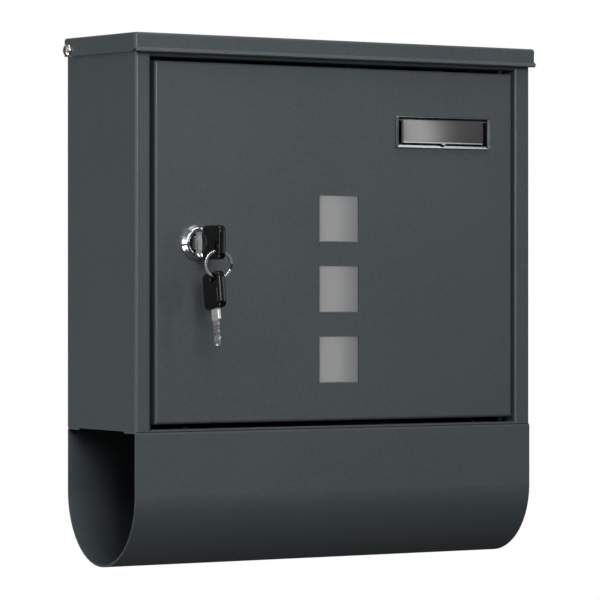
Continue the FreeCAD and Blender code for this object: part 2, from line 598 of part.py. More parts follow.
def holder_fasteners(nut):
    """Four screws through the bottom panel and the holder's flanges, with a nut under each."""
    reach = "(2 * size.sheet + size.bolt_nut_height + size.bolt_end)"
    screw = pan_screw("holder_screw", "size.bolt", "size.bolt_head", "size.bolt_head_height", reach)
    places = holder_screw_places()
    screws = group("holder_screws", screw, [(x, y, "size.sheet", UPRIGHT) for x, y in places])
    nuts = group("holder_nuts", nut, [(x, y, "-size.sheet", UPSIDE_DOWN) for x, y in places])
    return screws, nuts


def window_stud_places():
    """Two rows of studs beside the strip's openings, between the windows."""
    across = "(size.window / 2 + size.stud_margin)"
    return [(f"{side} * {across}", f"size.window_low + {row} * size.window_pitch")
            for side in (-1, 1) for row in (0.5, 1.5)]


def door_panel():
    """Door pressed as a tray, with the windows and the lock and name plate holes."""
    body = new_body("door_panel")
    front = new_sketch(body, "door_front", "XZ_Plane", "size.body_depth")
    add_rectangle(front, DOOR_LEFT, DOOR_RIGHT, DOOR_LOW, DOOR_HIGH)
    pad(body, front, f"{DOOR_BACK} - {FRONT}", backwards=True)
    hollow = new_sketch(body, "door_hollow", "XZ_Plane", f"-{DOOR_BACK}")
    add_rectangle(hollow, f"{DOOR_LEFT} + size.sheet", f"{DOOR_RIGHT} - size.sheet",
                  f"{DOOR_LOW} + size.sheet", f"{DOOR_HIGH} - size.sheet")
    cut(body, hollow, f"{DOOR_BACK} - {INNER_FRONT}", backwards=True)
    holes = new_sketch(body, "door_holes", "XZ_Plane", "size.body_depth - 2 * size.sheet")
    for row in WINDOW_ROWS:
        add_rectangle(holes, "-size.window / 2", "size.window / 2", f"{row} - size.window / 2",
                      f"{row} + size.window / 2")
    add_circle(holes, LOCK_X, "size.lock_height", "size.barrel / 2 + size.fixed_gap")
    name_half = "(size.name_width / 2 - size.name_rim + size.name_wall + size.face_gap)"
    name_high = "(size.name_tall / 2 - size.name_rim_low + size.name_wall + size.face_gap)"
    add_rectangle(holes, f"{NAME_X} - {name_half}", f"{NAME_X} + {name_half}",
                  f"{NAME_Z} - {name_high}", f"{NAME_Z} + {name_high}")
    cut(body, holes, "4 * size.sheet", backwards=True)
    pins = new_sketch(body, "door_pin_holes", "XY_Plane", DOOR_LOW)
    add_circle(pins, PIN_X, PIN_Y, "size.pin / 2 + size.fixed_gap")
    cut(body, pins, "2 * size.body_height", both_ways=True)
    here = (FRONT, FRONT)
    shape = body.Tip.Shape
    rim = (straight_edges(shape, "z", x=(DOOR_LEFT, DOOR_LEFT), y=here)
           + straight_edges(shape, "z", x=(DOOR_RIGHT, DOOR_RIGHT), y=here)
           + straight_edges(shape, "x", z=(DOOR_LOW, DOOR_LOW), y=here)
           + straight_edges(shape, "x", z=(DOOR_HIGH, DOOR_HIGH), y=here))
    soften(body, rim, "size.bend")
    seat(body)
    return body


def hinge_pin(label, shoulder_height, reach):
    """Stepped pin along +Z: rivet head below the door's flange, shoulder above it, then the turning end."""
    body = new_body(label)
    profile = new_sketch(body, f"{label}_profile", "XZ_Plane")
    head, shank = "size.pin_shoulder / 2", "size.pin / 2"
    low = "(-size.sheet - size.pin_rivet_head)"
    add_outline(profile, [
        ("0", low), (head, low), (head, "-size.sheet"), (shank, "-size.sheet"), (shank, "0"), (head, "0"),
        (head, shoulder_height), (shank, shoulder_height), (shank, reach), ("0", reach)])
    turn(body, profile)
    return body


def door_hinge_pins():
    """Top and bottom hinge pins of the door, in one node."""
    top_shoulder = "(size.door_gap_top - size.face_gap)"
    low_shoulder = "(size.door_gap_bottom - size.face_gap)"
    top = hinge_pin("hinge_pin_top", top_shoulder, f"{top_shoulder} + size.sheet + size.pin_reach")
    low = hinge_pin("hinge_pin_low", low_shoulder, f"{low_shoulder} + size.sheet + size.pin_reach")
    links = []
    for name, source, z, rotation in (("top", top, DOOR_HIGH, UPRIGHT), ("low", low, DOOR_LOW, UPSIDE_DOWN)):
        link = doc.addObject("App::Link", f"door_hinge_pin_{name}")
        link.LinkedObject = source
        link.Placement = Placement(Vector(0, 0, 0), rotation)
        seat(link, PIN_X, PIN_Y, z)
        links.append(link)
    whole = doc.addObject("Part::Compound", "door_hinge_pins")
    whole.Label = "door_hinge_pins"
    whole.Links = links
    doc.recompute()
    return whole


def window_parts():
    """Smoked strip behind the windows, the studs welded to the door and their nuts."""
    strip = new_body("window_strip")
    half = "(size.window / 2 + size.window_strip_margin)"
    plan = new_sketch(strip, "strip_plan", "XZ_Plane", "size.body_depth - size.sheet")
    add_rectangle(plan, f"-{half}", half, f"{WINDOW_ROWS[0]} - {half}", f"{WINDOW_ROWS[2]} + {half}")
    for x, z in window_stud_places():
        add_circle(plan, x, z, "size.stud / 2 + size.running_gap")
    pad(strip, plan, "size.window_strip_sheet", backwards=True)
    seat(strip)

    stud = new_body("window_stud")
    rod = new_sketch(stud, "stud_plan", "XY_Plane")
    add_circle(rod, "0", "0", "size.stud / 2")
    pad(stud, rod, "size.window_strip_sheet + size.stud_nut_height + size.stud_end")
    places = [(x, INNER_FRONT, z, FACE_BACK) for x, z in window_stud_places()]
    studs = group("window_studs", stud, places)

    nut = hex_nut("stud_nut", "size.stud_nut_flats", "size.stud_nut_height", "size.stud / 2 + size.fixed_gap")
    nuts = group("window_nuts", nut, [
        (x, f"{y} + size.window_strip_sheet", z, rotation) for x, y, z, rotation in places])
    return strip, studs, nuts


def nameplate_parts():
    """Name plate frame snapped into the door, its card and its hinged clear flap, drawn about its middle."""
    frame = new_body("nameplate_frame")
    half, tall = "(size.name_width / 2)", "(size.name_tall / 2)"
    inner, low = f"({half} - size.name_rim)", f"({tall} - size.name_rim_low)"
    rim = new_sketch(frame, "name_rim_plan", "XZ_Plane")
    add_rectangle(rim, f"-{half}", half, f"-{tall}", tall)
    pad(frame, rim, "size.name_proud")
    tray = new_sketch(frame, "name_tray", "XZ_Plane")
    add_rectangle(tray, f"-{inner} - size.name_wall", f"{inner} + size.name_wall",
                  f"-{low} - size.name_wall", f"{low} + size.name_wall")
    pad(frame, tray, "size.name_depth", backwards=True)
    for name, centre in (("left", "-size.hook_spread / 2"), ("right", "size.hook_spread / 2")):
        hook = new_sketch(frame, f"hook_{name}", "XZ_Plane", "-size.sheet - size.face_gap")
        add_rectangle(hook, f"{centre} - size.hook_width / 2", f"{centre} + size.hook_width / 2",
                      f"-{low} - size.name_wall - size.hook_catch",
                      f"{low} + size.name_wall + size.hook_catch")
        pad(frame, hook, "size.hook_depth", backwards=True)
    recess = new_sketch(frame, "name_recess", "XZ_Plane", "size.name_proud")
    add_rectangle(recess, f"-{inner}", inner, f"-{low}", low)
    cut(frame, recess, "size.name_proud + size.name_depth - size.name_floor")
    pin_z = f"({low} - size.flap_gap - size.flap_pin_drop)"
    pin_y = "(size.flap_set_back + size.flap_sheet / 2 - size.name_proud)"
    pin_holes = new_sketch(frame, "flap_pin_holes", "YZ_Plane")
    add_circle(pin_holes, pin_y, pin_z, "size.flap_pin / 2 + size.running_gap")
    pin_half = f"({inner} + size.name_wall)"
    cut(frame, pin_holes, f"2 * {pin_half}", both_ways=True)
    soften(frame, straight_edges(frame.Tip.Shape, "y", x=(f"-{half}", f"-{half}"))
           + straight_edges(frame.Tip.Shape, "y", x=(half, half)), "size.name_wall")
    face = ("-size.name_proud", "-size.name_proud")
    upper = straight_edges(frame.Tip.Shape, "x", y=face, z=(tall, tall))
    soften(frame, upper, f"size.name_proud * {FRAME_EDGE}", "Chamfer")
    seat(frame, NAME_X, FRONT, NAME_Z)

    card = new_body("name_card")
    card_half, card_tall = f"({inner} - size.card_margin)", f"({low} - size.card_margin)"
    card_plan = new_sketch(card, "card_plan", "XZ_Plane", "size.name_floor - size.name_depth")
    add_rectangle(card_plan, f"-{card_half}", card_half, f"-{card_tall}", card_tall)
    pad(card, card_plan, "size.card_sheet")
    seat(card, NAME_X, FRONT, NAME_Z)

    flap = new_body("nameplate_flap")
    flap_half = f"({inner} - size.flap_side_gap)"
    top = "size.flap_pin_drop"
    bottom = f"(size.flap_pin_drop - 2 * {low} + 2 * size.flap_gap)"
    plate = new_sketch(flap, "flap_plate", "XZ_Plane", "-size.flap_sheet / 2")
    add_rectangle(plate, f"-{flap_half}", flap_half, bottom, top)
    pad(flap, plate, "size.flap_sheet")
    soften(flap, straight_edges(flap.Tip.Shape, "x", z=(top, top)), f"size.flap_sheet * {FLAP_ROUND}")
    pins = new_sketch(flap, "flap_pins", "YZ_Plane")
    add_circle(pins, "0", "0", "size.flap_pin / 2")
    pad(flap, pins, f"2 * {pin_half} - 2 * size.face_gap", both_ways=True)
    tab = new_sketch(flap, "flap_tab", "XZ_Plane")
    add_rectangle(tab, "-size.tab_width / 2", "size.tab_width / 2", bottom, f"{bottom} + size.tab_tall")
    pad(flap, tab, "size.flap_sheet / 2 + size.tab_proud")
    seat(flap, NAME_X, f"{FRONT} + {pin_y}", f"{NAME_Z} + {pin_z}")
    return frame, card, flap


def seat_lock(piece):
    """Place a piece that is drawn from the middle of the lock on the door's face."""
    seat(piece, LOCK_X, FRONT, "size.lock_height")


def lock_parts():
    """Cam lock: housing with its bezel, nut, plug, cam and cam screw."""
    housing = new_body("lock_housing")
    profile = new_sketch(housing, "housing_profile", "XY_Plane")
    bore = "(size.plug / 2)"
    add_outline(profile, [
        ("size.bezel_mouth / 2", "-size.bezel_proud"), ("size.bezel_rim / 2", "-size.bezel_proud"),
        ("size.bezel / 2", "-size.bezel_foot"), ("size.bezel / 2", "0"), ("size.barrel / 2", "0"),
        ("size.barrel / 2", BARREL_END), (bore, BARREL_END), (bore, f"{DISH_FLOOR} + size.plug_step"),
        ("size.plug_flange / 2", f"{DISH_FLOOR} + size.plug_step"), ("size.plug_flange / 2", DISH_FLOOR)])
    turn(housing, profile)
    soften(housing, circle_edges(housing.Tip.Shape, "size.bezel_rim / 2", y="-size.bezel_proud"),
           f"(size.bezel_rim - size.bezel_mouth) * {RIM_ROUND}")
    seat_lock(housing)

    nut = hex_nut("lock_nut", "size.lock_nut_flats", "size.lock_nut_height",
                  "size.barrel / 2 + size.fixed_gap")
    nut.Placement = Placement(Vector(0, 0, 0), FACE_BACK)
    seat(nut, LOCK_X, INNER_FRONT, "size.lock_height")

    plug = new_body("lock_plug")
    plug_profile = new_sketch(plug, "plug_profile", "XY_Plane")
    flange, radius = "(size.plug_flange / 2 - size.running_gap)", "(size.plug / 2 - size.running_gap)"
    step = f"({DISH_FLOOR} + size.plug_step - size.face_gap)"
    add_outline(plug_profile, [
        ("0", PLUG_FACE), (flange, PLUG_FACE), (flange, step), (radius, step), (radius, CAM_FACE),
        ("0", CAM_FACE)])
    turn(plug, plug_profile)
    square = new_sketch(plug, "plug_square", "XZ_Plane", f"-({CAM_FACE})")
    side = "(size.cam_square / 2)"
    add_rectangle(square, f"-{side}", side, f"-{side}", side)
    pad(plug, square, "size.cam_sheet", backwards=True)
    slot = new_sketch(plug, "key_slot", "XZ_Plane", f"-({PLUG_FACE})")
    slot_half = "(size.blade_sheet / 2 + size.key_slot_gap)"
    slot_tall = "(size.blade_width / 2 + size.key_slot_gap)"
    add_rectangle(slot, f"-{slot_half}", slot_half, f"-{slot_tall}", slot_tall)
    cut(plug, slot, f"{KEY_HOLE_END} - {PLUG_FACE}")
    screw_hole = new_sketch(plug, "cam_screw_hole", "XZ_Plane", f"-({CAM_FACE}) - size.cam_sheet")
    add_circle(screw_hole, "0", "0", "size.cam_bolt / 2 + size.fixed_gap")
    cut(plug, screw_hole, "size.cam_bolt_reach + 2 * size.face_gap", backwards=True)
    seat_lock(plug)

    cam = new_body("lock_cam")
    plate = new_sketch(cam, "cam_plate", "XZ_Plane", f"-({CAM_FACE})")
    half = "(size.cam_width / 2)"
    add_rectangle(plate, f"-{half}", half, "-size.cam_reach", "size.cam_heel")
    hole = "(size.cam_square / 2 + size.fixed_gap)"
    add_rectangle(plate, f"-{hole}", hole, f"-{hole}", hole)
    pad(cam, plate, "size.cam_sheet", backwards=True)
    corners = straight_edges(cam.Tip.Shape, "y", x=(f"-{half}", f"-{half}"))
    corners += straight_edges(cam.Tip.Shape, "y", x=(half, half))
    soften(cam, corners, f"size.cam_width * {CAM_ROUND}")
    seat_lock(cam)

    screw = pan_screw("cam_screw", "size.cam_bolt", "size.cam_bolt_head", "size.cam_bolt_head_height",
                      "size.cam_bolt_reach")
    screw.Placement = Placement(Vector(0, 0, 0), FACE_BACK)
    seat(screw, LOCK_X, f"{FRONT} + {CAM_FACE} + size.cam_sheet", "size.lock_height")
    return housing, nut, plug, cam, screw


def key_parts(prefix):
    """One key: a notched blade and the moulded head on its tang, drawn from the shoulder."""
    blade = new_body(f"{prefix}_blade")
    flat = new_sketch(blade, f"{prefix}_flat", "YZ_Plane")
    half, wide = "(size.blade_width / 2)", "(size.shoulder_width / 2)"
    tang = f"({HEAD_NEAR} - size.tang_length)"
    add_outline(flat, [
        (tang, f"-{half}"), (HEAD_NEAR, f"-{half}"), (HEAD_NEAR, f"-{wide}"), ("0", f"-{wide}"),
        ("0", f"-{half}"), ("size.blade_reach - size.blade_tip", f"-{half}"),
        ("size.blade_reach", f"-{half} + size.blade_tip"),
        ("size.blade_reach", f"{half} - size.blade_tip"), ("size.blade_reach - size.blade_tip", half),
        ("0", half), ("0", wide), (HEAD_NEAR, wide), (HEAD_NEAR, half), (tang, half)])
    pad(blade, flat, "size.blade_sheet", both_ways=True)
    bits = new_sketch(blade, f"{prefix}_bits", "YZ_Plane")
    for number, depth in enumerate(BIT_DEPTHS, start=1):
        middle = f"({number} * size.bit_pitch)"
        floor = f"-{half} + {depth} * size.bit_depth"
        add_outline(bits, [
            (f"{middle} - size.bit_width", f"-{half} - size.face_gap"),
            (f"{middle} + size.bit_width * {BIT_MOUTH}", f"-{half} - size.face_gap"), (middle, floor)])
    cut(blade, bits, "2 * size.blade_sheet", both_ways=True)

    head = new_body(f"{prefix}_head")
    block = new_sketch(head, f"{prefix}_block", "YZ_Plane")
    side = "(size.head_width / 2)"
    add_rectangle(block, HEAD_FAR, HEAD_NEAR, f"-{side}", side)
    pad(head, block, "size.head_thick", both_ways=True)
    upright = straight_edges(head.Tip.Shape, "x", y=(HEAD_FAR, HEAD_NEAR))
    soften(head, upright, "size.head_corner")
    rims = [f"Edge{number}" for number, edge in enumerate(head.Tip.Shape.Edges, start=1)
            if abs(abs(edge.CenterOfMass.x) - value("size.head_thick / 2")) < 0.01]
    soften(head, rims, "size.head_edge")
    loop = new_sketch(head, f"{prefix}_loop", "YZ_Plane")
    loop_half = "(size.loop_width / 2)"
    add_rectangle(loop, f"{LOOP_Y} - {loop_half}", f"{LOOP_Y} + {loop_half}",
                  "-size.loop_low", "size.loop_high")
    cut(head, loop, "2 * size.head_thick", both_ways=True)
    ends = straight_edges(head.Tip.Shape, "x", y=(f"{LOOP_Y} - {loop_half}", f"{LOOP_Y} + {loop_half}"),
                          z=("-size.loop_low", "size.loop_high"))
    soften(head, ends, "size.loop_corner")
    socket = new_sketch(head, f"{prefix}_socket", "XZ_Plane", f"-({HEAD_NEAR})")
    slot_half = "(size.blade_sheet / 2 + size.fixed_gap)"
    slot_tall = "(size.blade_width / 2 + size.fixed_gap)"
    add_rectangle(socket, f"-{slot_half}", slot_half, f"-{slot_tall}", slot_tall)
    cut(head, socket, "size.tang_length + size.fixed_gap", backwards=True)
    return blade, head


def keys_and_ring():
    """The key in the lock, the ring through its head and the spare key that hangs from the ring."""
    blade, head = key_parts("key")
    for piece in (blade, head):
        seat(piece, LOCK_X, f"{FRONT} + {PLUG_FACE}", "size.lock_height")

    ring = new_body("key_ring")
    section = new_sketch(ring, "ring_section", "XY_Plane")
    half = "(size.ring_wire / 2)"
    add_rectangle(section, f"size.ring_radius - {half}", f"size.ring_radius + {half}", f"-{half}", half)
    turn(ring, section)
    rims = [f"Edge{number}" for number, edge in enumerate(ring.Tip.Shape.Edges, start=1)
            if edge.Curve.TypeId == "Part::GeomCircle"]
    soften(ring, rims, "size.ring_corner")
    ring.Placement = Placement(Vector(0, 0, 0), Rotation(Vector(0, 0, 1), -value("size.ring_turn")))
    ring.setExpression("Placement.Rotation.Angle", "size.ring_turn")
    ring.setExpression("Placement.Rotation.Axis.z", "-1")
    seat(ring, LOCK_X, RING_Y, f"{RING_TOP_Z} - size.ring_radius")

    spare_blade, spare_head = key_parts("spare_key")
    lean = "size.spare_lean * 1 deg"
    drop = f"({SPARE_HANG_Y})"
    x = f"({LOCK_X} - size.spare_aside * cos(size.ring_turn * 1 deg))"
    y = (f"({RING_Y} + size.spare_aside * sin(size.ring_turn * 1 deg)"
         f" + {drop} * sin({lean}) + size.spare_offset * cos({lean}))")
    z = (f"({RING_TOP_Z} - size.ring_radius * (1 + cos({SPARE_ROUND}))"
         f" + {drop} * cos({lean}) - size.spare_offset * sin({lean}))")
    hanging = Rotation(Vector(-1, 0, 0), 90 + value("size.spare_lean"))
    for piece in (spare_blade, spare_head):
        piece.Placement = Placement(Vector(0, 0, 0), hanging)
        piece.setExpression("Placement.Rotation.Angle", "90 + size.spare_lean")
        seat(piece, x, y, z)
    return blade, head, ring, spare_blade, spare_head


def build():
    """Every node of the mailbox, in the order they are written."""
    nodes = [case_wrap(), back_panel(), bottom_panel(), paper_holder(), lid()]
    screws, washers, nuts, bolt_nut = lid_pivots()
    nodes += [screws, washers, nuts]
    nodes += holder_fasteners(bolt_nut)
    nodes += [door_panel(), door_hinge_pins()]
    nodes += window_parts()
    nodes += nameplate_parts()
    nodes += lock_parts()
    nodes += keys_and_ring()
    return nodes


def check(nodes):
    """Stop if any object failed or any node's shape is missing or invalid."""
    for item in doc.Objects:
        if "Invalid" in item.State or "Error" in item.State:
            raise RuntimeError(f"{item.Name} is {item.State}")
    for node in nodes:
        if node.Shape.isNull() or not node.Shape.isValid():
            raise RuntimeError(f"{node.Label} has no valid shape")


nodes = build()
doc.recompute()
check(nodes)
os.makedirs("parts", exist_ok=True)
for node in nodes:
    node.Shape.exportStep(f"parts/{node.Label}.step")
    print(node.Label, len(node.Shape.Solids), round(node.Shape.Volume, 2))
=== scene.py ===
import json
import math

import bmesh
import bpy
from mathutils import Matrix, Vector


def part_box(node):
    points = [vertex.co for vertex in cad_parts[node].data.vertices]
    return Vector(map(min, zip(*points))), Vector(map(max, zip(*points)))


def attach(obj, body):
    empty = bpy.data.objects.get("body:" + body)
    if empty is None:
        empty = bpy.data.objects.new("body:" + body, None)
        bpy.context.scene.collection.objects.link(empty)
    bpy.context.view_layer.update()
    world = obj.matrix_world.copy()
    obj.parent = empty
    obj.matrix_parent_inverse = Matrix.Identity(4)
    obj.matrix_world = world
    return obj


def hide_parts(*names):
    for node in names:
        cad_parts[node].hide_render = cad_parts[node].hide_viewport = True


# Wall mounted mailbox: anthracite powder coated sheet steel, with a chrome cam lock, two keys on a ring,
# a name plate with a hinged flap, three smoked windows and an open newspaper holder underneath.
# New pieces are drawn in millimetres, each in its own flat frame, and then set in their places.

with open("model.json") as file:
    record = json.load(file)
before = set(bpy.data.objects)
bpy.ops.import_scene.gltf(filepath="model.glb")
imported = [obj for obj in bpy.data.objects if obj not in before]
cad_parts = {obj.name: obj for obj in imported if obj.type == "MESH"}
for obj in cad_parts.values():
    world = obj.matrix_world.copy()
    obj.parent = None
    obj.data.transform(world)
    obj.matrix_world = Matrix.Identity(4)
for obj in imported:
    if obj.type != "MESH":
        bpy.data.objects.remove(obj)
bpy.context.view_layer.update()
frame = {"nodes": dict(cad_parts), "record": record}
parts = frame["nodes"]
MM = 0.001


# ---------------------------------------------------------------- nodes and colours

def linear(colour):
    """Linear RGBA of an sRGB hex colour such as 4a4f52."""
    channels = [int(colour[place:place + 2], 16) / 255 for place in (0, 2, 4)]
    return [c / 12.92 if c <= 0.04045 else ((c + 0.055) / 1.055) ** 2.4 for c in channels] + [1.0]


def add(tree, kind, settings=None, inputs=None):
    """A new node: settings are its properties, inputs give each socket a value or another node's output."""
    node = tree.nodes.new(kind)
    for name, value in (settings or {}).items():
        setattr(node, name, value)
    for name, value in (inputs or {}).items():
        if isinstance(value, bpy.types.NodeSocket):
            tree.links.new(value, node.inputs[name])
        else:
            node.inputs[name].default_value = value
    return node


def per(size_mm):
    """Pattern scale, in turns per metre, of a feature that is size_mm wide."""
    return 1 / (size_mm * MM)


def new_material(name):
    """An empty material and its tree, with the object coordinates that its patterns read."""
    material = bpy.data.materials.new(name)
    material.use_nodes = True
    tree = material.node_tree
    tree.nodes.clear()
    where = add(tree, "ShaderNodeTexCoord").outputs["Object"]
    return material, tree, where


def finish(tree, inputs):
    """The surface shader and the output."""
    shader = add(tree, "ShaderNodeBsdfPrincipled", inputs=inputs)
    add(tree, "ShaderNodeOutputMaterial", inputs={"Surface": shader.outputs["BSDF"]})


# ---------------------------------------------------------------- materials

# What the powder coat shows, in millimetres. The real grain is about 0.3 mm; it is drawn coarser so that it
# shows at this distance.
COAT_GRAIN = 1.2
COAT_PEEL = 4.0
COAT_DRIFT = 70.0
COAT_RELIEF = 0.05
# The radius over which edges are found for the painted highlight along them.
EDGE_HIGHLIGHT_RADIUS = 0.7

# How much wider than the grain the clouds in a plated film and in a moulding are.
FILM_CLOUDS = 6
MOULDING_CLOUDS = 14


def powder_coat():
    """Anthracite polyester powder coat, baked on sheet steel: a satin film with a fine sandy grain, faint
    orange peel that breaks up its gloss, a slow drift in shade, and a painted highlight that makes the
    coat paler along the sharp edges."""
    material, tree, where = new_material("anthracite powder coat")
    grain = add(tree, "ShaderNodeTexNoise", inputs={
        "Vector": where, "Scale": per(COAT_GRAIN), "Detail": 2.0})
    peel = add(tree, "ShaderNodeTexNoise", inputs={"Vector": where, "Scale": per(COAT_PEEL), "Detail": 2.0})
    drift = add(tree, "ShaderNodeTexNoise", inputs={
        "Vector": where, "Scale": per(COAT_DRIFT), "Detail": 1.0})
    shade = add(tree, "ShaderNodeMix", {"data_type": "RGBA"},
                {0: drift.outputs["Fac"], 6: linear("394043"), 7: linear("41484b")})
    speck = add(tree, "ShaderNodeMapRange", inputs={
        "Value": grain.outputs["Fac"], "From Min": 0.35, "From Max": 0.65, "To Min": 0.0, "To Max": 0.42})
    colour = add(tree, "ShaderNodeMix", {"data_type": "RGBA"},
                 {0: speck.outputs[0], 6: shade.outputs[2], 7: linear("4b5356")})
    # An edge is where the normal averaged over a small radius leans away from the surface's own.
    rounded = add(tree, "ShaderNodeBevel", {"samples": 4}, {"Radius": EDGE_HIGHLIGHT_RADIUS * MM})
    lean = add(tree, "ShaderNodeVectorMath", {"operation": "DOT_PRODUCT"}, {
        0: rounded.outputs[0], 1: add(tree, "ShaderNodeNewGeometry").outputs["Normal"]})
    edge = add(tree, "ShaderNodeMapRange", inputs={
        "Value": lean.outputs["Value"], "From Min": 0.97, "From Max": 0.75, "To Min": 0.0, "To Max": 0.35})
    # Painted highlight: along the edges the coat is painted paler, towards a pale grey.
    edge_highlight = add(tree, "ShaderNodeMix", {"data_type": "RGBA"},
               {0: edge.outputs[0], 6: colour.outputs[2], 7: linear("6b7377")})
    gloss = add(tree, "ShaderNodeMapRange", inputs={
        "Value": peel.outputs["Fac"], "From Min": 0.3, "From Max": 0.7, "To Min": 0.38, "To Max": 0.47})
    fine = add(tree, "ShaderNodeBump", inputs={
        "Height": grain.outputs["Fac"], "Strength": 0.45, "Distance": COAT_RELIEF * MM})
    skin = add(tree, "ShaderNodeBump", inputs={
        "Height": peel.outputs["Fac"], "Strength": 0.25, "Distance": COAT_RELIEF * MM,
        "Normal": fine.outputs[0]})
    finish(tree, {"Base Color": edge_highlight.outputs[2], "Roughness": gloss.outputs[0], "IOR": 1.5,
                  "Normal": skin.outputs[0]})
    return material


def plated_metal(name, light, dark, roughness, grain_mm, metallic=1.0):
    """Plated metal: a bright film over a drawn or cast surface, with faint clouds in its colour and gloss and
    a fine grain that softens its reflections."""
    material, tree, where = new_material(name)
    cloud = add(tree, "ShaderNodeTexNoise", inputs={
        "Vector": where, "Scale": per(grain_mm * FILM_CLOUDS), "Detail": 2.0})
    grain = add(tree, "ShaderNodeTexNoise", inputs={"Vector": where, "Scale": per(grain_mm), "Detail": 2.0})
    colour = add(tree, "ShaderNodeMix", {"data_type": "RGBA"},
                 {0: cloud.outputs["Fac"], 6: linear(dark), 7: linear(light)})
    gloss = add(tree, "ShaderNodeMapRange", inputs={
        "Value": cloud.outputs["Fac"], "From Min": 0.3, "From Max": 0.7,
        "To Min": roughness * 0.8, "To Max": roughness * 1.2})
    bump = add(tree, "ShaderNodeBump", inputs={
        "Height": grain.outputs["Fac"], "Strength": 0.2, "Distance": 0.01 * MM})
    finish(tree, {"Base Color": colour.outputs[2], "Metallic": metallic, "Roughness": gloss.outputs[0],
                  "Normal": bump.outputs[0]})
    return material


def moulded_plastic(name, light, dark, roughness, texture_mm, relief_mm, ior=1.46, skin=0.0):
    """Moulded plastic: the mould's spark eroded grain in its skin, and small changes in gloss where it
    cooled. A clear sheet mirrors the room in its front and again in its back, which skin adds as a second
    reflection."""
    material, tree, where = new_material(name)
    grain = add(tree, "ShaderNodeTexNoise", inputs={
        "Vector": where, "Scale": per(texture_mm), "Detail": 2.0})
    cloud = add(tree, "ShaderNodeTexNoise", inputs={
        "Vector": where, "Scale": per(texture_mm * MOULDING_CLOUDS), "Detail": 1.0})
    colour = add(tree, "ShaderNodeMix", {"data_type": "RGBA"},
                 {0: cloud.outputs["Fac"], 6: linear(dark), 7: linear(light)})
    gloss = add(tree, "ShaderNodeMapRange", inputs={
        "Value": cloud.outputs["Fac"], "From Min": 0.3, "From Max": 0.7,
        "To Min": roughness * 0.88, "To Max": roughness * 1.12})
    bump = add(tree, "ShaderNodeBump", inputs={
        "Height": grain.outputs["Fac"], "Strength": 0.25, "Distance": relief_mm * MM})
    finish(tree, {"Base Color": colour.outputs[2], "Roughness": gloss.outputs[0], "IOR": ior,
                  "Coat Weight": skin, "Coat Roughness": roughness, "Coat IOR": ior,
                  "Normal": bump.outputs[0]})
    return material


MATERIALS = {
    "powder_coat": powder_coat(),
    "zinc_plate": plated_metal("bright zinc plated steel", "d2d2cc", "b9bab6", 0.25, 0.6),
    "nylon": moulded_plastic("natural nylon", "ddd9cc", "d2cdbf", 0.5, 0.4, 0.03),
    "smoked_acrylic": moulded_plastic(
        "smoked acrylic sheet", "777879", "737475", 0.16, 2.5, 0.001, ior=1.49, skin=1.0),
    "frame_metal": plated_metal("nickel plated zinc casting", "8a8d90", "838689", 0.15, 2.5),
    "card": moulded_plastic("blank card", "d9d8d2", "cfcec7", 0.8, 0.3, 0.02),
    "clear_flap": moulded_plastic(
        "smoked polystyrene flap", "2e2f31", "2a2b2d", 0.15, 2.5, 0.001, ior=1.75, skin=1.0),
    "chrome": plated_metal("chrome plated brass", "e4e5e7", "dadbdd", 0.07, 1.0),
    "key_steel": plated_metal("satin nickel plated brass", "f0efed", "e6e5e3", 0.3, 0.8, metallic=0.75),
    "ring_steel": plated_metal("nickel plated spring wire", "e0e0de", "d6d6d4", 0.16, 1.2),
    "black_plastic": moulded_plastic("black moulded ABS", "070707", "040404", 0.1, 0.35, 0.004, ior=1.4),
    # Black zinc, whose darkness also serves as painted shade in the gaps round the door.
    "gap_shade_dark_zinc": plated_metal("black zinc plated steel", "1c1c1e", "121214", 0.45, 0.6),
}
SLOT = {entry["node"]: entry["material_slot"] for entry in frame["record"]["subparts"]}
# The fasteners that show only through the gaps round the door are black zinc, a real finish; their
# darkness also stands in as painted shade for those gaps.
SLOT.update({node: "gap_shade_dark_zinc" for node in ("door_hinge_pins", "holder_screws", "holder_nuts")})
# The plug is a duller casting inside its bright housing; its darker tone also stands in as painted
# shade for the dished mouth it sits in.
SLOT["lock_plug"] = "frame_metal"
for node, slot in SLOT.items():
    for held in parts[node].material_slots:
        held.material = MATERIALS[slot]


# ---------------------------------------------------------------- shapes

# Turns a shape drawn flat, with its height along Z, so that its height points out of the door.
FACING = Matrix.Rotation(math.radians(90), 4, "X")
# Turns a shape drawn flat, with its height along Z, so that it lies in the plane of a key: X along it, Y up.
EDGEWISE = Matrix(((0, 0, 1, 0), (1, 0, 0, 0), (0, 1, 0, 0), (0, 0, 0, 1)))
# Room left when corners or edges are told apart by where they are, in millimetres.
NEAR = 0.1


def mesh_of(name, shape):
    """The mesh that a bmesh holds. The bmesh is freed."""
    data = bpy.data.meshes.new(name)
    shape.to_mesh(data)
    shape.free()
    return data


def shown(name, data):
    """A new object in the scene."""
    item = bpy.data.objects.new(name, data)
    bpy.context.scene.collection.objects.link(item)
    return item


def rounded_face(half_x, half_y, radius, steps=4, place=(0, 0, 0)):
    """A flat rectangular face with rounded corners."""
    shape = bmesh.new()
    bmesh.ops.create_grid(shape, x_segments=1, y_segments=1, size=1)
    bmesh.ops.scale(shape, verts=shape.verts, vec=(half_x, half_y, 1))
    bmesh.ops.bevel(shape, geom=shape.verts[:], offset=radius, offset_type="OFFSET", segments=steps,
                    profile=0.5, affect="VERTICES", material=-1)
    bmesh.ops.translate(shape, verts=shape.verts, vec=place)
    return shape


def gather(*shapes):
    """Several shapes as one."""
    whole = bmesh.new()
    for shape in shapes:
        data = mesh_of("gathered", shape)
        whole.from_mesh(data)
        bpy.data.meshes.remove(data)
    return whole


def between(outer, inner):
    """The flat face between two outlines that have as many corners each."""
    shape = gather(outer, inner)
    bmesh.ops.delete(shape, geom=shape.faces[:], context="FACES_ONLY")
    bmesh.ops.bridge_loops(shape, edges=shape.edges[:])
    return shape


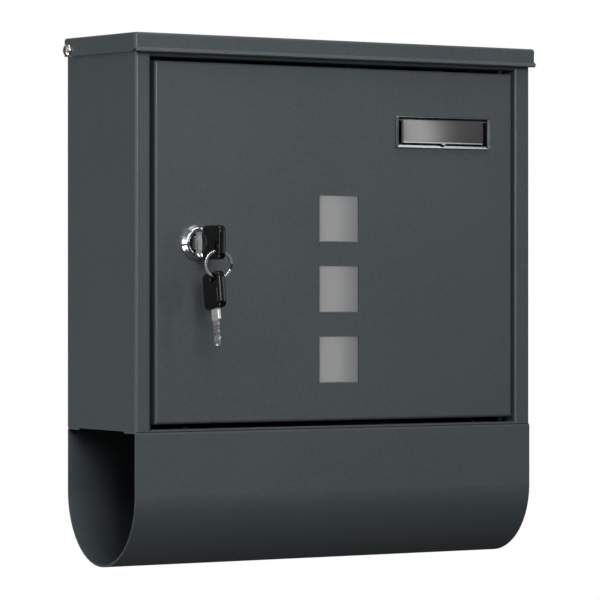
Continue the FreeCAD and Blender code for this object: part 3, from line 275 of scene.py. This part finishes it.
def raised(shape, height):
    """The flat face made into a block by raising a copy of it."""
    made = bmesh.ops.extrude_face_region(shape, geom=shape.faces[:])["geom"]
    top = [item for item in made if isinstance(item, bmesh.types.BMVert)]
    bmesh.ops.translate(shape, verts=top, vec=(0, 0, height))
    bmesh.ops.recalc_face_normals(shape, faces=shape.faces)
    return shape


def bowed(half_x, half_y, steps, place, thickness, bow):
    """A thin sheet whose front stands proud by what bow gives for a point's place, -1 to 1 across and up."""
    shape = bmesh.new()
    bmesh.ops.create_grid(shape, x_segments=steps[0], y_segments=steps[1], size=1)
    bmesh.ops.scale(shape, verts=shape.verts, vec=(half_x, half_y, 1))
    bmesh.ops.translate(shape, verts=shape.verts, vec=place)
    raised(shape, thickness)
    for corner in shape.verts:
        if corner.co.z > place[2] + thickness / 2:
            corner.co.z += bow((corner.co.x - place[0]) / half_x, (corner.co.y - place[1]) / half_y)
    return shape


def softened(shape, edges, width, steps):
    """Rounds the given edges."""
    bmesh.ops.bevel(shape, geom=edges, offset=width, offset_type="OFFSET", segments=steps, profile=0.5,
                    affect="EDGES", clamp_overlap=False, material=-1)
    return shape


def eased(shape, width, steps=2, sharper=35):
    """Rounds every edge that is sharper than so many degrees."""
    sharp = [edge for edge in shape.edges if edge.calc_face_angle(0) > math.radians(sharper)]
    return softened(shape, sharp, width, steps)


def turned(profile, steps):
    """A solid of revolution about Z from its outline, each point a radius and a height."""
    shape = bmesh.new()
    corners = [shape.verts.new((radius, 0, height)) for radius, height in profile]
    edges = [shape.edges.new(pair) for pair in zip(corners, corners[1:] + corners[:1])]
    bmesh.ops.spin(shape, geom=corners + edges, cent=(0, 0, 0), axis=(0, 0, 1), dvec=(0, 0, 0),
                   angle=math.tau, steps=steps, use_merge=True, use_duplicate=False)
    bmesh.ops.remove_doubles(shape, verts=shape.verts, dist=0.0005)
    bmesh.ops.recalc_face_normals(shape, faces=shape.faces)
    return shape


def put(shape, matrix, place):
    """Turns a shape and moves it to its place."""
    bmesh.ops.transform(shape, matrix=Matrix.Translation(place) @ matrix, verts=shape.verts)
    return shape


def piece(name, shape, body, slot, *nodes, sharp=40):
    """The finished piece: in metres, smooth but for edges sharper than so many degrees, riding a body in
    place of CAD nodes."""
    bmesh.ops.scale(shape, verts=shape.verts, vec=(MM, MM, MM))
    data = mesh_of(name, shape)
    data.shade_smooth()
    data.set_sharp_from_angle(angle=math.radians(sharp))
    data.materials.append(MATERIALS[slot])
    item = shown(name, data)
    item.modifiers.new("flats stay flat", "WEIGHTED_NORMAL").keep_sharp = True
    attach(item, body)
    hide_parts(*nodes)


def middle(node):
    """The middle of a CAD node's box, in millimetres."""
    low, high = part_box(node)
    return (low + high) / (2 * MM)


# ---------------------------------------------------------------- keys and ring
# A key is drawn along X: its shoulder ends at 0, its blade runs on from there and its head back.

SHOULDER, SHOULDER_HALF = 7.05, 4.25
HEAD_LONG, HEAD_WIDE, HEAD_THICK, HEAD_CORNER, HEAD_EDGE = 23.25, 21.6, 4.7, 4.2, 0.9
HEAD_MIDDLE = -SHOULDER - HEAD_LONG / 2

# The slot that the ring runs through: half its size, its corners, its edge, and its middle below the axis.
LOOP_LONG, LOOP_WIDE, LOOP_CORNER, LOOP_EDGE, LOOP_LOW = 2.7, 3.8, 1.6, 0.35, 3.2
LOOP_MIDDLE = -SHOULDER - HEAD_LONG + 4.3

# The raised grip on each side of a head: half its size, its corners, its middle and how proud it stands.
GRIP_LONG, GRIP_WIDE, GRIP_CORNER, GRIP_MIDDLE, GRIP_PROUD = 5.6, 7.6, 1.6, -SHOULDER - 8.6, 0.2

# The blade's section, width and thickness: its cut edge is milled thin and each side has a groove.
CUT_EDGE, CUT_HALF_THICK, CUT_ROOT = -3, 0.4, -1.9
BLADE_SECTION = [(CUT_EDGE, -CUT_HALF_THICK), (CUT_ROOT, -0.97), (-1.0, -0.97), (-0.7, -0.5), (0.3, -0.5),
                 (1.15, -0.97), (3, -0.97), (3, 0.97), (1.15, 0.97), (0.3, 0.5), (-0.7, 0.5), (-1.0, 0.97),
                 (CUT_ROOT, 0.97), (CUT_EDGE, CUT_HALF_THICK)]

# The notches: their depths from shoulder to tip, and one's outline along the blade as shares of its depth.
NOTCH_DEPTHS, NOTCH_PITCH = (0.72, 1.2, 0.48, 0.96), 3.2
NOTCH = ((-1.7, 0.0), (-0.15, 1.0), (0.15, 1.0), (1.3, 0.0))
# The root of the milled slope moves with a notch by this share of its depth.
ROOT_SHARE = 0.7

# How far the blade reaches back into the head, its thickness, and its tip: from, to, and the width it keeps.
TANG, BLADE_THICK, TIP_START, TIP_END, TIP_SHARE = 11, 2.0, 14.25, 16.2, 0.36

# The ring: its radius, half its wire's section and corners, the step between its turns, and how it hangs.
RING_RADIUS, WIRE_ACROSS, WIRE_DEEP, WIRE_CORNER = 8.55, 0.74, 0.385, 0.12
RING_STEP, RING_STEP_ANGLE, RING_TURN = 0.8, math.radians(24), math.radians(-10)

# The spare key hangs with its blade down, leaning a little.
SPARE_TURN = math.radians(-98.4)

# The door's face, and how far out of it the key in the lock stands.
DOOR_FACE = -99
KEY_OUT = 3.3


def head_shape():
    """A key's moulded head: rounded corners and edges, a slot for the ring, and a grip on each side."""
    outline = rounded_face(HEAD_LONG / 2, HEAD_WIDE / 2, HEAD_CORNER, 8, (HEAD_MIDDLE, 0, 0))
    loop = rounded_face(LOOP_LONG, LOOP_WIDE, LOOP_CORNER, 8, (LOOP_MIDDLE, -LOOP_LOW, 0))
    shape = raised(between(outline, loop), HEAD_THICK)
    bmesh.ops.translate(shape, verts=shape.verts, vec=(0, 0, -HEAD_THICK / 2))
    # The rims are the square edges that run level round each side.
    rims = [edge for edge in shape.edges if edge.calc_face_angle(0) > math.radians(80)
            and abs(edge.verts[0].co.z - edge.verts[1].co.z) < NEAR]
    outer = [edge for edge in rims if abs(edge.verts[0].co.y) > LOOP_LOW + LOOP_WIDE + NEAR
             or abs(edge.verts[0].co.x - LOOP_MIDDLE) > LOOP_LONG + NEAR]
    inner = [edge for edge in rims if edge not in outer]
    softened(shape, outer, HEAD_EDGE, 4)
    softened(shape, [edge for edge in inner if edge.is_valid], LOOP_EDGE, 2)
    grip = raised(rounded_face(GRIP_LONG, GRIP_WIDE, GRIP_CORNER, 6,
                               (GRIP_MIDDLE, 0, -HEAD_THICK / 2 - GRIP_PROUD)), HEAD_THICK + 2 * GRIP_PROUD)
    return gather(shape, eased(grip, GRIP_PROUD))


def blade_shape():
    """A key's milled blade: grooved sides, four notches, a pointed tip and a wider shoulder at its root."""
    stations = [(-SHOULDER - TANG, 0.0)]
    for number, depth in enumerate(NOTCH_DEPTHS, start=1):
        stations += [(NOTCH_PITCH * number + along, share * depth) for along, share in NOTCH]
    stations.append((TIP_START, 0.0))
    shape = bmesh.new()
    face = shape.faces.new([shape.verts.new((stations[0][0], v, w)) for v, w in BLADE_SECTION])
    for (start, _), (end, cut) in zip(stations, stations[1:] + [(TIP_END, None)]):
        made = bmesh.ops.extrude_face_region(shape, geom=[face])["geom"]
        face = next(item for item in made if isinstance(item, bmesh.types.BMFace))
        bmesh.ops.translate(shape, verts=face.verts, vec=(end - start, 0, 0))
        for corner in face.verts:
            if cut is None:
                corner.co.y *= TIP_SHARE
            elif abs(corner.co.z) < CUT_HALF_THICK + NEAR / 2:
                corner.co.y = CUT_EDGE + cut
            elif corner.co.y < CUT_ROOT + ROOT_SHARE * max(NOTCH_DEPTHS) + NEAR / 4:
                corner.co.y = CUT_ROOT + ROOT_SHARE * cut
    bmesh.ops.recalc_face_normals(shape, faces=shape.faces)
    bmesh.ops.triangulate(shape, faces=[face for face in shape.faces if len(face.verts) > 4])
    shoulder = raised(rounded_face(SHOULDER / 2, SHOULDER_HALF, 0.5, 3,
                                   (-SHOULDER / 2, 0, -BLADE_THICK / 2)), BLADE_THICK)
    return gather(shape, eased(shoulder, 0.2))


def split_ring():
    """A split ring: flat spring wire in two turns that lie side by side, with a short step between them."""
    shape = rounded_face(WIRE_ACROSS, WIRE_DEEP, WIRE_CORNER, 2)
    put(shape, FACING, (RING_RADIUS, 0, -RING_STEP / 2))
    section = shape.verts[:] + shape.edges[:] + shape.faces[:]
    level = math.tau - RING_STEP_ANGLE
    for angle, steps, rise in ((level, 96, 0), (RING_STEP_ANGLE, 8, RING_STEP), (level, 96, 0)):
        section = bmesh.ops.spin(
            shape, geom=section, cent=(0, 0, 0), axis=(0, 0, 1), dvec=(0, 0, rise / steps), angle=angle,
            steps=steps, use_merge=False, use_duplicate=False)["geom_last"]
    bmesh.ops.recalc_face_normals(shape, faces=shape.faces)
    return put(shape, FACING, (0, 0, 0))


lock_place = Vector((middle("lock_housing").x, DOOR_FACE, middle("lock_housing").z))
key_place = lock_place - Vector((0, KEY_OUT, 0))
spare_turn = Matrix.Rotation(SPARE_TURN, 4, "X")
spare_place = middle("spare_key_head") - spare_turn @ Vector((0, HEAD_MIDDLE, 0))
piece("key_moulded_head", put(head_shape(), EDGEWISE, key_place), "key", "black_plastic", "key_head")
piece("key_milled_blade", put(blade_shape(), EDGEWISE, key_place), "key", "key_steel", "key_blade")
piece("spare_key_moulded_head", put(head_shape(), spare_turn @ EDGEWISE, spare_place),
      "spare_key", "black_plastic", "spare_key_head")
piece("spare_key_milled_blade", put(blade_shape(), spare_turn @ EDGEWISE, spare_place),
      "spare_key", "key_steel", "spare_key_blade")
piece("split_ring", put(split_ring(), Matrix.Rotation(RING_TURN, 4, "Z"), middle("key_ring")),
      "key_ring", "ring_steel", "key_ring")


# ---------------------------------------------------------------- lock

BARREL, BORE, BARREL_END = 9.0, 6.28, -16.9
THREAD_START, THREAD_PITCH, THREAD_ROOT, THREAD_TURNS = -3.9, 1.4, 8.45, 9


def lock_shape():
    """The cam lock's housing: a flared bezel with a rolled rim and a dished mouth, and a threaded barrel."""
    bezel = [(8.7, 4.6), (9.3, 4.6), (9.65, 4.42), (9.8, 4.1), (10.3, 3.2), (10.9, 2.1), (11.35, 1.35),
             (11.55, 1.0), (11.55, 0.0), (BARREL, 0.0), (BARREL, -3.2)]
    thread = []
    for number in range(THREAD_TURNS):
        crest = THREAD_START - THREAD_PITCH * number
        thread += [(BARREL, crest), (THREAD_ROOT, crest - THREAD_PITCH / 2)]
    mouth = [(BARREL, BARREL_END), (BORE, BARREL_END), (BORE, 1.6), (7.0, 1.6), (7.0, 3.2), (7.5, 3.45)]
    return turned(bezel + thread + mouth, 128)


piece("lock_bezel_and_barrel", put(lock_shape(), FACING, lock_place), "door", "chrome", "lock_housing")


# ---------------------------------------------------------------- name plate and windows
# These are drawn as one faces the door: X across, Y up, and Z out of its face.

# The rim: half its outside, half its opening and how far up that sits, and its height.
RIM_WIDE, RIM_TALL, OPENING_WIDE, OPENING_TALL, OPENING_UP, RIM_HIGH = 37.3, 10.5, 35, 8.9, 0.4, 1.3
# The rim's foot stands out more. It and the flap's lip fall back by this much for each millimetre up.
FOOT_HIGH, SLOPE = 1.8, 0.58

# The tray behind the rim: half its outside, its wall, its back, its floor and its walls' height; its hooks.
TRAY_WIDE, TRAY_TALL, TRAY_WALL, TRAY_BACK, TRAY_FLOOR, TRAY_HIGH = 35.1, 9.7, 0.8, -3.2, 1.0, 2.25
HOOK_ACROSS, HOOK_UP, HOOK_BACK, HOOK_HIGH = 22, 9.95, -2.8, 1.5

# The flap: half its size, its middle, its back and its sheet; its lip, tab and pins start at their own backs.
FLAP_WIDE, FLAP_TALL, FLAP_UP, FLAP_BACK, FLAP_SHEET = 32, 7.85, 0.55, -0.3, 0.85
LIP_WIDE, LIP_UP, LIP_BACK, LIP_HIGH, TAB_UP, TAB_HIGH = 31.4, -6.75, -0.2, 1.75, -7.4, 2.3
PIN, PIN_LONG, PIN_ACROSS, PIN_UP, PIN_OUT = 0.5, 3.2, 31.8, 7.6, 0.3

# The smoked strip behind the windows, and its panes: half their sizes, their backs and their sheets.
STRIP_WIDE, STRIP_TALL, STRIP_BACK, STRIP_SHEET = 24, 69.8, -3.2, 1.98
PANE, PANE_PITCH, PANE_BACK, PANE_SHEET, PANE_BOW = 14.85, 45.8, -1.7, 0.5, 0.2


def rim_shape():
    """The name plate's cast rim on the door, with eased edges and a foot that slopes like a sill."""
    rim = raised(between(rounded_face(RIM_WIDE, RIM_TALL, 1.2),
                         rounded_face(OPENING_WIDE, OPENING_TALL, 0.5, place=(0, OPENING_UP, 0))), RIM_HIGH)
    for corner in rim.verts:
        if corner.co.z > RIM_HIGH / 2 and corner.co.y < OPENING_UP - OPENING_TALL + NEAR:
            corner.co.z = FOOT_HIGH - SLOPE * (corner.co.y + RIM_TALL)
    return eased(rim, 0.3, 3, sharper=60)


def tray_shape():
    """The tray behind the rim that holds the card, with the four snap hooks that hold it in the door."""
    start = (0, 0, TRAY_BACK + TRAY_FLOOR)
    walls = raised(between(rounded_face(TRAY_WIDE, TRAY_TALL, 0.3, 3, start),
                           rounded_face(TRAY_WIDE - TRAY_WALL, TRAY_TALL - TRAY_WALL, 0.3, 3, start)),
                   TRAY_HIGH)
    floor = raised(rounded_face(TRAY_WIDE, TRAY_TALL, 0.3, 3, (0, 0, TRAY_BACK)), TRAY_FLOOR)
    hooks = [raised(rounded_face(4, 0.3, 0.1, 1, (across, up, HOOK_BACK)), HOOK_HIGH)
             for across in (-HOOK_ACROSS, HOOK_ACROSS) for up in (-HOOK_UP, HOOK_UP)]
    return gather(walls, eased(floor, 0.2), *hooks)


def flap_shape():
    """The hinged flap over the name card: bowed a little, with a sloped lip along its foot, a finger tab and
    a pin at each end of its top."""
    sheet = bowed(FLAP_WIDE, FLAP_TALL, (32, 14), (0, FLAP_UP, FLAP_BACK), FLAP_SHEET,
                  lambda across, up: 0.4 + 0.5 * across - 0.6 * across ** 2 - 0.3 * up ** 2)
    lip = raised(rounded_face(LIP_WIDE, 0.55, 0.4, 3, (0, LIP_UP, LIP_BACK)), LIP_HIGH)
    tab = raised(rounded_face(1.5, 0.9, 0.4, 4, (0, TAB_UP, LIP_BACK)), TAB_HIGH)
    for block in (lip, tab):
        foot = min(corner.co.y for corner in block.verts)
        for corner in block.verts:
            if corner.co.z > 0:
                corner.co.z -= SLOPE * (corner.co.y - foot)
    pins = [put(turned([(0, 0), (PIN, 0), (PIN, PIN_LONG), (0, PIN_LONG)], 24),
                Matrix.Rotation(math.radians(90 * side), 4, "Y"), (PIN_ACROSS * side, PIN_UP, PIN_OUT))
            for side in (-1, 1)]
    return gather(eased(sheet, 0.25, sharper=60), eased(lip, 0.15, sharper=30),
                  eased(tab, 0.15, sharper=30), *pins)


def window_shape():
    """The smoked strip behind the door, with a pane that stands forward in each opening and bows a little."""
    strip = raised(rounded_face(STRIP_WIDE, STRIP_TALL, 2.0, place=(0, 0, STRIP_BACK)), STRIP_SHEET)
    panes = [bowed(PANE, PANE, (20, 20), (0, PANE_PITCH * row, PANE_BACK), PANE_SHEET,
                   lambda across, up: PANE_BOW * (1 - across ** 2)) for row in (-1, 0, 1)]
    return gather(eased(strip, 0.3), *[eased(pane, 0.15, sharper=60) for pane in panes])


name_place = Vector((middle("nameplate_frame").x, DOOR_FACE, middle("nameplate_frame").z))
window_place = Vector((middle("window_strip").x, DOOR_FACE, middle("window_strip").z))
piece("smoked_window_strip", put(window_shape(), FACING, window_place),
      "door", "smoked_acrylic", "window_strip")
# The rim's slopes meet its flats at small angles, so its shading is split at those as well.
piece("name_plate_frame", put(rim_shape(), FACING, name_place),
      "door", "frame_metal", "nameplate_frame", sharp=12)
piece("name_plate_tray", put(tray_shape(), FACING, name_place), "door", "black_plastic")
piece("name_plate_flap", put(flap_shape(), FACING, name_place),
      "nameplate_flap", "clear_flap", "nameplate_flap")


# ---------------------------------------------------------------- studio

# Which way the white backdrop and the wall at the left stand, seen from the box. Gloss finds them bright and
# the room elsewhere dim; the level is what lights the surfaces.
BACKDROP, WALL = (0.5115, 0.8593, 0.0), (-1, 0, 0)
BACKDROP_BRIGHT, WALL_BRIGHT, ROOM_BRIGHT, LEVEL = 1.0, 0.7, 0.16, 0.08

# The floor's height and half its width, and how far out it starts and ends fading to white.
FLOOR, FLOOR_HALF, FADE_START, FADE_END = -1.2, 12, 1.5, 3.0

# Each lamp panel: its name, place, what it faces, its width and height, and its power. The top right one
# makes the bright lines on the name plate, the windows and the flap mirror the strip and the main one, and
# the one behind lights the back and the right side.
LAMPS = (
    ("main", (-0.45, -1.7, 0.45), (0, -0.1, 0), (0.7, 0.7), 21),
    ("high", (-0.9, -1.2, 1.1), (0, -0.1, 0), (0.8, 0.8), 3.4),
    ("low left", (-1.4, 0.25, -0.8), (-0.15, 0, -0.05), (0.8, 0.8), 12),
    ("left", (-1.5, -0.08, 0.12), (-0.15, -0.05, 0), (0.3, 0.45), 1.7),
    ("top", (0, -0.5, 1.8), (0, -0.1, 0), (1.2, 1.2), 21.5),
    ("top right", (1.0, -0.87, 1.4), (0.08, -0.1, 0.06), (0.3, 0.3), 0.95),
    ("behind", (1.4, 0.9, 0.5), (0.1, 0.05, 0), (0.8, 0.8), 14),
    ("strip", (0.955, -1.75, 0.15), (0.03, -0.1, 0.03), (0.16, 0.9), 1.15),
)


def make_camera():
    """A long lens level with the box, in front of it and to its left."""
    camera = shown("camera", bpy.data.cameras.new("camera"))
    camera.location = (-1.1526, -1.9851, -0.0365)
    camera.rotation_euler = (math.radians(89.857), 0, math.radians(-30.766))
    camera.data.lens = 203.77
    camera.data.sensor_width = 36
    camera.data.clip_end = 100
    bpy.context.scene.camera = camera


def soft_box(name, place, target, size, power):
    """A plain white lamp panel, unseen by the camera."""
    lamp = bpy.data.lights.new(name, "AREA")
    lamp.shape = "RECTANGLE"
    lamp.size, lamp.size_y = size
    lamp.energy = power
    item = shown(name, lamp)
    item.visible_camera = False
    item.location = place
    item.rotation_euler = (Vector(target) - Vector(place)).to_track_quat("-Z", "Y").to_euler()


def make_world():
    """A white backdrop for the camera and for glass, which gloss sees behind the box, with a wall at its left
    and a dim room around it, and a low plain level of light on the surfaces."""
    world = bpy.data.worlds.new("studio")
    bpy.context.scene.world = world
    world.use_nodes = True
    tree = world.node_tree
    tree.nodes.clear()
    path = add(tree, "ShaderNodeLightPath").outputs
    way = add(tree, "ShaderNodeTexCoord").outputs["Generated"]
    behind = add(tree, "ShaderNodeVectorMath", {"operation": "DOT_PRODUCT"}, {0: way, 1: BACKDROP})
    backdrop = add(tree, "ShaderNodeMapRange", {"interpolation_type": "SMOOTHSTEP"}, {
        "Value": behind.outputs["Value"], "From Min": 0.75, "From Max": 0.97,
        "To Min": ROOM_BRIGHT, "To Max": BACKDROP_BRIGHT})
    beside = add(tree, "ShaderNodeVectorMath", {"operation": "DOT_PRODUCT"}, {0: way, 1: WALL})
    wall = add(tree, "ShaderNodeMapRange", {"interpolation_type": "SMOOTHSTEP"}, {
        "Value": beside.outputs["Value"], "From Min": 0.45, "From Max": 0.85,
        "To Min": ROOM_BRIGHT, "To Max": WALL_BRIGHT})
    around = add(tree, "ShaderNodeMath", {"operation": "MAXIMUM"}, {
        0: backdrop.outputs[0], 1: wall.outputs[0]})
    gloss = add(tree, "ShaderNodeMix", inputs={0: path["Is Glossy Ray"], 2: LEVEL, 3: around.outputs[0]})
    seen = add(tree, "ShaderNodeMath", {"operation": "MAXIMUM"}, {
        0: path["Is Camera Ray"], 1: path["Is Transmission Ray"]})
    strength = add(tree, "ShaderNodeMix", inputs={0: seen.outputs[0], 2: gloss.outputs[0], 3: 1.0})
    sky = add(tree, "ShaderNodeBackground", inputs={
        "Color": linear("ffffff"), "Strength": strength.outputs[0]})
    add(tree, "ShaderNodeOutputWorld", inputs={"Surface": sky.outputs[0]})


def make_floor():
    """A pale floor well below the box: it takes the object's shadow, fades to white further out for the
    camera and for glass, and is dim to gloss and in the light that it throws back."""
    shape = bmesh.new()
    bmesh.ops.create_grid(shape, x_segments=1, y_segments=1, size=FLOOR_HALF)
    bmesh.ops.translate(shape, verts=shape.verts, vec=(0, 0, FLOOR))
    floor = shown("floor", mesh_of("floor", shape))
    material, tree, where = new_material("pale painted floor")
    path = add(tree, "ShaderNodeLightPath").outputs
    away = add(tree, "ShaderNodeVectorMath", {"operation": "DISTANCE"}, {0: where, 1: (0, 0, FLOOR)})
    fade = add(tree, "ShaderNodeMapRange", inputs={
        "Value": away.outputs["Value"], "From Min": FADE_START, "From Max": FADE_END,
        "To Min": 0.0, "To Max": 1.0})
    grain = add(tree, "ShaderNodeTexNoise", inputs={"Vector": where, "Scale": per(3.0)})
    paint = add(tree, "ShaderNodeMix", {"data_type": "RGBA"},
                {0: grain.outputs["Fac"], 6: linear("e4e4e4"), 7: linear("eaeaea")})
    seen = add(tree, "ShaderNodeMath", {"operation": "MAXIMUM"}, {
        0: path["Is Camera Ray"], 1: path["Is Transmission Ray"]})
    dim = add(tree, "ShaderNodeMix", {"data_type": "RGBA"},
              {0: path["Is Glossy Ray"], 6: linear("303030"), 7: linear("585858")})
    lit = add(tree, "ShaderNodeMix", {"data_type": "RGBA"},
              {0: seen.outputs[0], 6: dim.outputs[2], 7: paint.outputs[2]})
    faded = add(tree, "ShaderNodeMath", {"operation": "MULTIPLY"}, {0: seen.outputs[0], 1: fade.outputs[0]})
    surface = add(tree, "ShaderNodeBsdfDiffuse", inputs={"Color": lit.outputs[2]})
    white = add(tree, "ShaderNodeEmission", inputs={"Color": linear("ffffff"), "Strength": 1.0})
    mix = add(tree, "ShaderNodeMixShader", inputs={
        0: faded.outputs[0], 1: surface.outputs[0], 2: white.outputs[0]})
    add(tree, "ShaderNodeOutputMaterial", inputs={"Surface": mix.outputs[0]})
    floor.data.materials.append(material)


make_camera()
make_world()
make_floor()
for lamp in LAMPS:
    soft_box(*lamp)
bpy.context.scene.view_settings.view_transform = "Standard"
